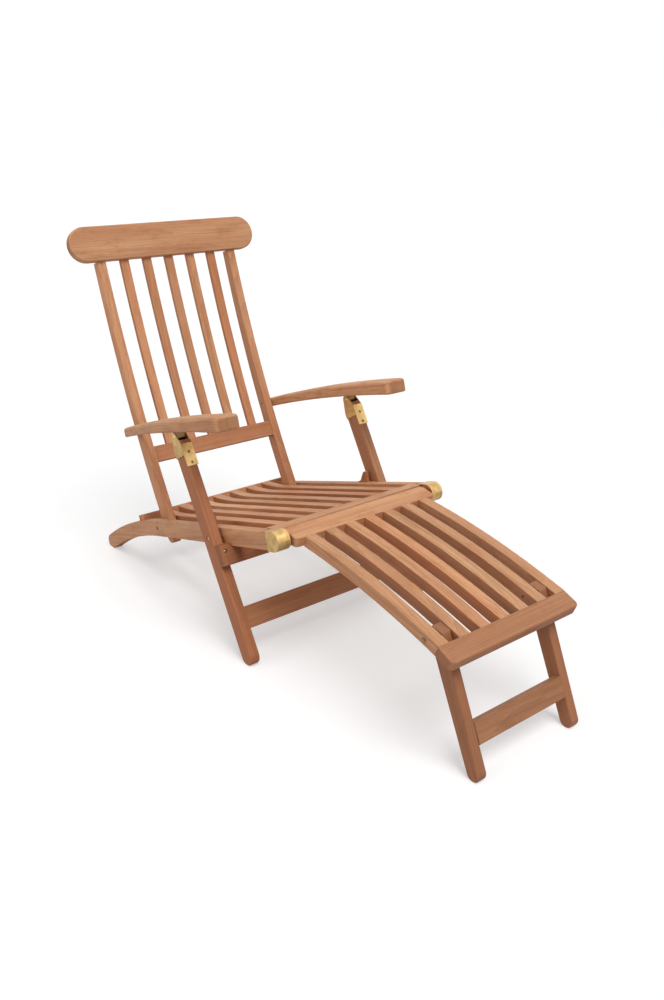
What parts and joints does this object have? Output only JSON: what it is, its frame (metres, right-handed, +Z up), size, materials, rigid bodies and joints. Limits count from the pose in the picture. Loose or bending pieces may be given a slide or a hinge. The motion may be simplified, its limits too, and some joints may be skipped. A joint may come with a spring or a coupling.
{
  "type": "steamer deck chair",
  "caption": "Folding wooden steamer deck chair with slatted reclined back, flat arms, hinged footrest on its own legs, and brass fittings.",
  "frame": {"origin": "centre of the chair's footprint box, on the floor it stands on", "axes": "+X forward towards the footrest, +Y to the sitter's left, +Z up from the floor"},
  "size_m": [1.4834, 0.58, 0.952],
  "materials": {
    "teak": "smooth sanded teak, oiled, satin",
    "brass": "brushed solid brass"
  },
  "bodies": {
    "seat": {"nose_cap_left": "brass", "nose_cap_right": "brass", "rail_ear_left": "teak", "rail_ear_right": "teak", "seat_front_bar": "teak", "seat_front_bar_screws": "brass", "seat_rail_left": "teak", "seat_rail_right": "teak", "seat_rear_bar": "teak", "seat_slat_1": "teak", "seat_slat_2": "teak", "seat_slat_3": "teak", "seat_slat_4": "teak", "seat_slat_5": "teak", "seat_slat_6": "teak", "seat_slat_7": "teak"},
    "legs": {"front_leg_left": "teak", "front_leg_right": "teak", "hinge_bracket_left": "brass", "hinge_bracket_right": "brass", "hinge_pins": "brass", "hinge_screws": "brass", "leg_crossbar": "teak", "leg_crossbar_screws": "brass", "leg_pivot_bolts": "brass", "leg_pivot_spacers": "brass", "leg_stretcher": "teak"},
    "arms": {"arm_left": "teak", "arm_right": "teak", "hinge_lug_left": "brass", "hinge_lug_right": "brass"},
    "back": {"arm_bolts": "brass", "back_lower_rail": "teak", "back_pivot_bolts": "brass", "back_slat_1": "teak", "back_slat_2": "teak", "back_slat_3": "teak", "back_slat_4": "teak", "back_slat_5": "teak", "back_stile_left": "teak", "back_stile_right": "teak", "back_washers": "brass", "headrest": "teak"},
    "footrest": {"footrest_crossbar": "teak", "footrest_end_board": "teak", "footrest_leg_bolts": "brass", "footrest_pivot_pins": "brass", "footrest_rail_left": "teak", "footrest_rail_right": "teak", "footrest_slat_1": "teak", "footrest_slat_2": "teak", "footrest_slat_3": "teak", "footrest_slat_4": "teak", "footrest_slat_5": "teak", "footrest_washers": "brass"},
    "footrest_legs": {"footrest_leg_left": "teak", "footrest_leg_right": "teak", "footrest_leg_stretcher": "teak"}
  },
  "joints": [
    {"name": "frame_fold", "type": "hinge", "parent": "seat", "child": "legs", "pos_m": [-0.0592, 0, 0.278], "axis": [0, 1, 0], "range_deg": [0, 88]},
    {"name": "back_fold", "type": "hinge", "parent": "seat", "child": "back", "pos_m": [-0.39426, 0, 0.17684], "axis": [0, 1, 0], "range_deg": [0, 83]},
    {"name": "arm_hinge", "type": "hinge", "parent": "legs", "child": "arms", "pos_m": [-0.19288, 0, 0.501], "axis": [0, 1, 0], "range_deg": [-89, 0]},
    {"name": "footrest_hinge", "type": "hinge", "parent": "seat", "child": "footrest", "pos_m": [0.17754, 0, 0.34948], "axis": [0, 1, 0], "range_deg": [-35, 33]},
    {"name": "footrest_leg_fold", "type": "hinge", "parent": "footrest", "child": "footrest_legs", "pos_m": [0.60429, 0, 0.27906], "axis": [0, 1, 0], "range_deg": [0, 120]}
  ],
  "couplings": [
    {"joint": "back_fold", "follows": "frame_fold", "ratio": 0.94},
    {"joint": "arm_hinge", "follows": "frame_fold", "ratio": -1.005}
  ]
}
